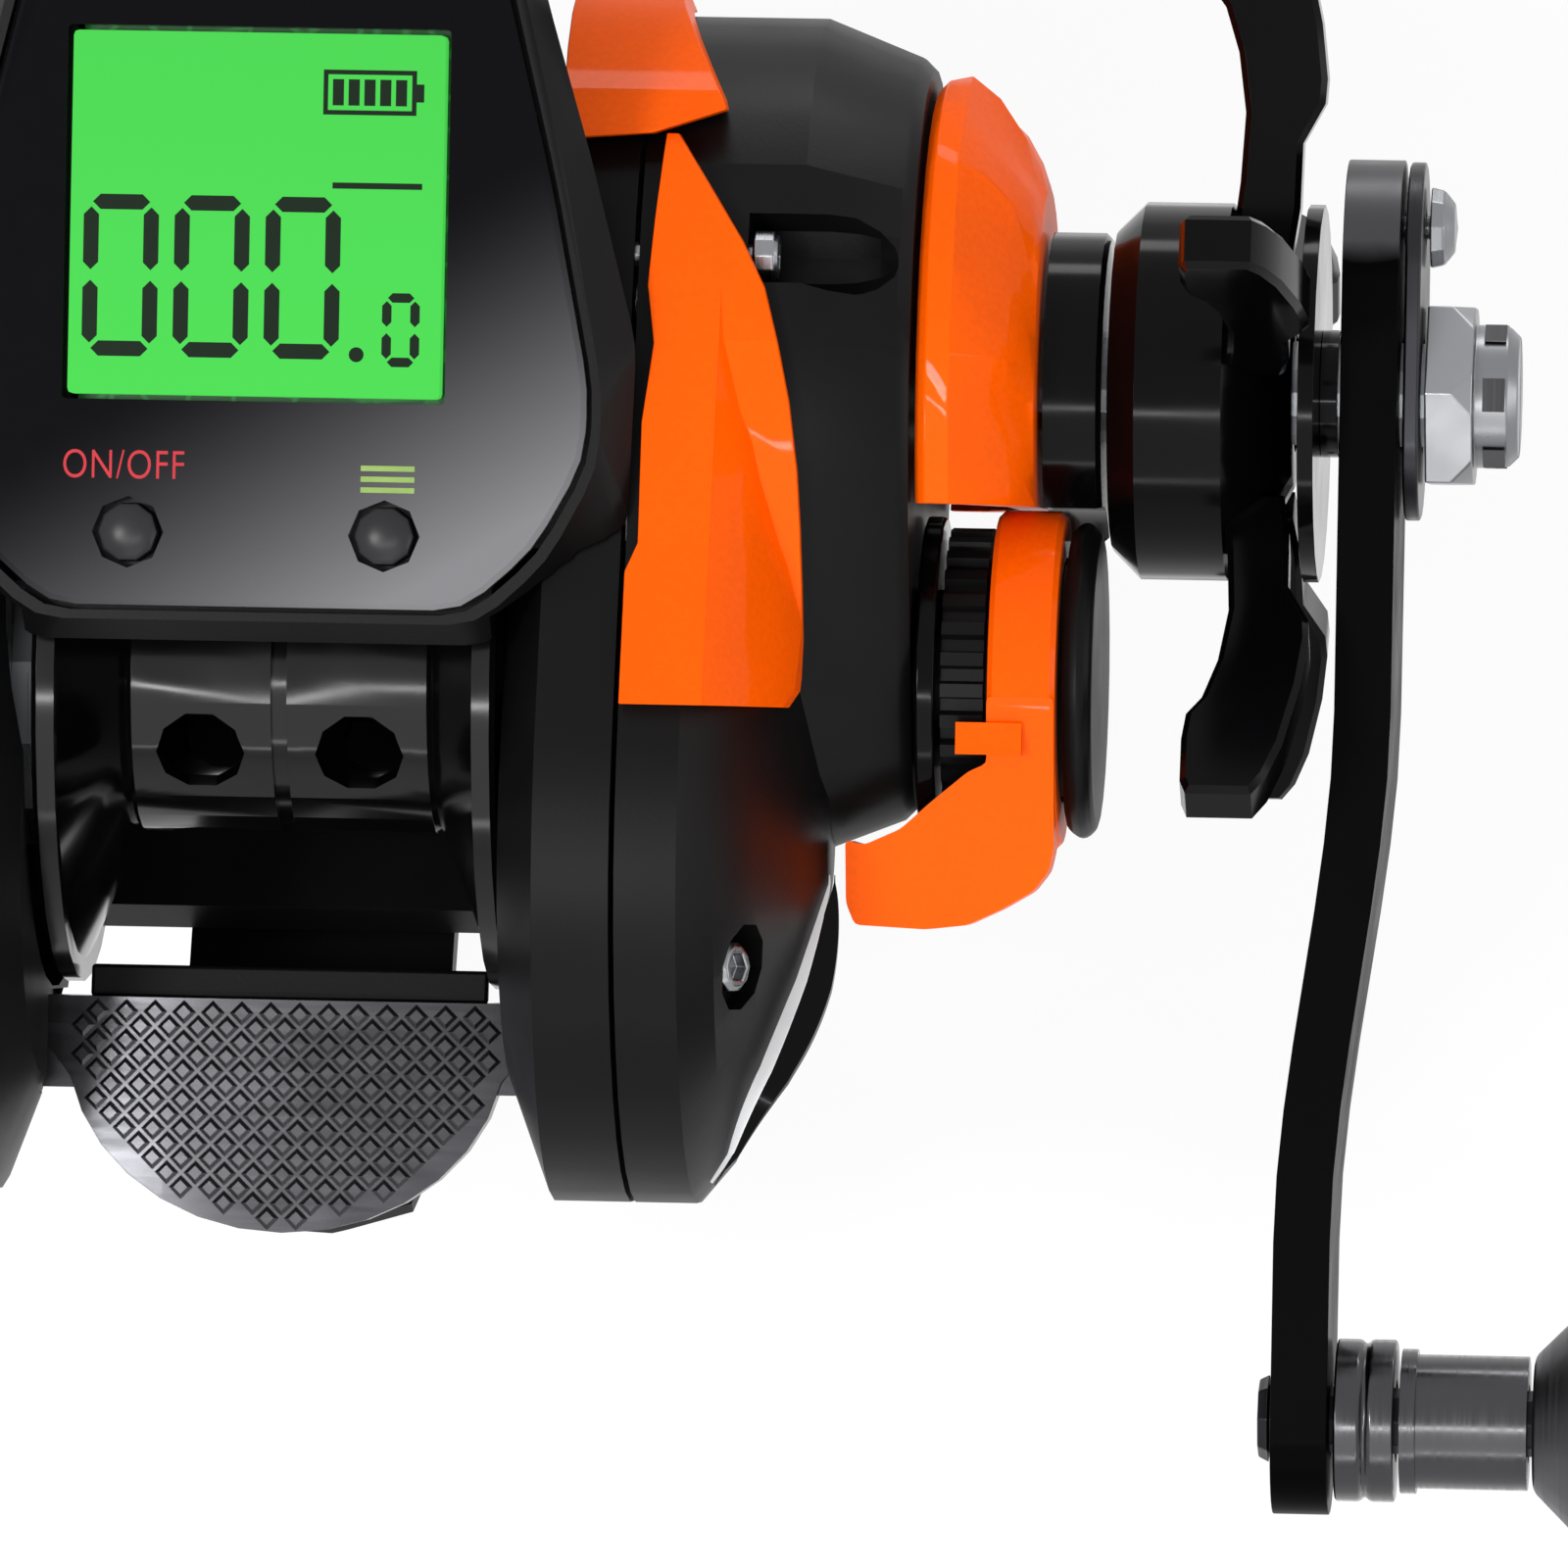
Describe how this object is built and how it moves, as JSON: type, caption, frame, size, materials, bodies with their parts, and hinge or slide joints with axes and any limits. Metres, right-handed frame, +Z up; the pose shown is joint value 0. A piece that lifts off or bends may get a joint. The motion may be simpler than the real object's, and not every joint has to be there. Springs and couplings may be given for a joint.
{
  "type": "electric fishing reel",
  "caption": "Low-profile fishing reel with a tilted electronic line counter, star drag, cranked handle with a round knob, thumb bar and level wind.",
  "frame": {"origin": "centre of the flat pad under the reel foot", "axes": "+X towards the handle, +Y towards the rod tip, +Z up from the rod"},
  "size_m": [0.1255, 0.0938, 0.0758],
  "materials": {
    "body_black": "satin, fine moulded texture",
    "gloss_black": "high gloss",
    "orange_paint": "gloss lacquer",
    "spool_black": "gloss anodised",
    "dark_metal": "dark anodised, knurled where the thumb rests",
    "bright_metal": "polished",
    "steel": "ground",
    "brass": "machined",
    "ceramic": "glazed",
    "screen": "lit display behind clear glass",
    "circuit_board": "solder mask",
    "friction_liner": "woven carbon",
    "grip": "soft touch"
  },
  "bodies": {
    "frame_body": {"frame": "body_black", "gear_side_cover": "body_black", "palm_side_cover": "body_black", "gear_side_trim": "orange_paint", "palm_side_trim": "orange_paint", "gear_side_shoulder": "orange_paint", "palm_side_shoulder": "orange_paint", "cover_screw_top": "bright_metal", "cover_screw_rear": "bright_metal", "counter_housing": "body_black", "fascia": "gloss_black", "lcd_screen": "screen", "counter_board": "circuit_board", "battery": "steel", "battery_hatch": "body_black", "spool_bearing_right": "steel", "spool_bearing_left": "steel", "cast_base": "gloss_black", "magnet_holder": "steel", "drive_bearing": "steel", "one_way_clutch": "steel", "drag_cup": "orange_paint", "drag_collar": "gloss_black", "worm_bush_right": "brass", "worm_bush_left": "brass", "guide_rail": "steel"},
    "crank_body": {"drive_shaft": "steel", "main_gear": "brass", "guide_drive_gear": "ceramic", "drag_washer": "friction_liner", "pressure_plate": "steel", "handle_washer": "gloss_black", "handle_arm": "gloss_black", "handle_retainer": "dark_metal", "retainer_screw": "bright_metal", "handle_nut": "bright_metal", "knob_post": "dark_metal"},
    "knob_body": {"knob_bush": "bright_metal", "knob_neck": "bright_metal", "knob_grip": "grip", "knob_cap": "bright_metal"},
    "star_body": {"star_drag": "gloss_black"},
    "spool_body": {"spool": "spool_black", "spool_shaft": "steel", "brake_rotor": "steel"},
    "yoke_body": {"clutch_yoke": "friction_liner"},
    "pinion_body": {"pinion": "brass"},
    "worm_body": {"worm_shaft": "steel", "guide_gear": "ceramic"},
    "carriage_body": {"line_guide": "body_black", "guide_insert": "ceramic", "guide_pawl": "steel"},
    "thumb_bar_body": {"thumb_bar": "dark_metal"},
    "cast_control_body": {"cast_knob": "body_black", "cast_cap": "body_black"},
    "lever_body": {"clicker_lever": "orange_paint"},
    "dial_body": {"brake_dial": "body_black"},
    "power_button_body": {"power_button": "gloss_black"},
    "set_button_body": {"set_button": "gloss_black"}
  },
  "joints": [
    {"name": "handle_crank", "type": "hinge", "parent": "frame_body", "child": "crank_body", "pos_m": [0.058, 0.00966, 0.0284], "axis": [1, 0, 0], "continuous": true},
    {"name": "knob_spin", "type": "hinge", "parent": "crank_body", "child": "knob_body", "pos_m": [0.062, -0.043, 0.00385], "axis": [1, 0, 0], "continuous": true},
    {"name": "star_drag_turn", "type": "hinge", "parent": "crank_body", "child": "star_body", "pos_m": [0.052, 0.00966, 0.0284], "axis": [1, 0, 0], "range_deg": [-270, 270]},
    {"name": "spool_spin", "type": "hinge", "parent": "frame_body", "child": "spool_body", "pos_m": [0, -0.007, 0.025], "axis": [1, 0, 0], "continuous": true},
    {"name": "clutch_yoke_slide", "type": "slide", "parent": "frame_body", "child": "yoke_body", "axis": [1, 0, 0], "range_m": [0, 0.0015]},
    {"name": "pinion_spin", "type": "hinge", "parent": "yoke_body", "child": "pinion_body", "pos_m": [0.022, -0.007, 0.025], "axis": [1, 0, 0], "continuous": true},
    {"name": "worm_spin", "type": "hinge", "parent": "frame_body", "child": "worm_body", "pos_m": [0, 0.02091, 0.0219], "axis": [1, 0, 0], "continuous": true},
    {"name": "line_guide_slide", "type": "slide", "parent": "frame_body", "child": "carriage_body", "axis": [1, 0, 0], "range_m": [-0.0085, 0.0085]},
    {"name": "thumb_bar_slide", "type": "slide", "parent": "frame_body", "child": "thumb_bar_body", "axis": [0, 0.4226, -0.9063], "range_m": [0, 0.004]},
    {"name": "cast_control_turn", "type": "hinge", "parent": "frame_body", "child": "cast_control_body", "pos_m": [0.04, -0.007, 0.025], "axis": [1, 0, 0], "range_deg": [-180, 180]},
    {"name": "clicker_lever_turn", "type": "hinge", "parent": "frame_body", "child": "lever_body", "pos_m": [0.041, -0.007, 0.025], "axis": [1, 0, 0], "range_deg": [0, 30]},
    {"name": "brake_dial_turn", "type": "hinge", "parent": "frame_body", "child": "dial_body", "pos_m": [-0.028, -0.007, 0.025], "axis": [1, 0, 0], "range_deg": [0, 200]},
    {"name": "power_button_press", "type": "slide", "parent": "frame_body", "child": "power_button_body", "axis": [0, 0.4226, -0.9063], "range_m": [0, 0.0005], "stiffness_N_per_m": 800},
    {"name": "set_button_press", "type": "slide", "parent": "frame_body", "child": "set_button_body", "axis": [0, 0.4226, -0.9063], "range_m": [0, 0.0005], "stiffness_N_per_m": 800}
  ],
  "couplings": [
    {"joint": "spool_spin", "follows": "handle_crank", "ratio": -4.6667},
    {"joint": "pinion_spin", "follows": "handle_crank", "ratio": -4.6667},
    {"joint": "worm_spin", "follows": "handle_crank", "ratio": -2.25},
    {"joint": "clutch_yoke_slide", "follows": "thumb_bar_slide", "ratio": 0.375}
  ]
}
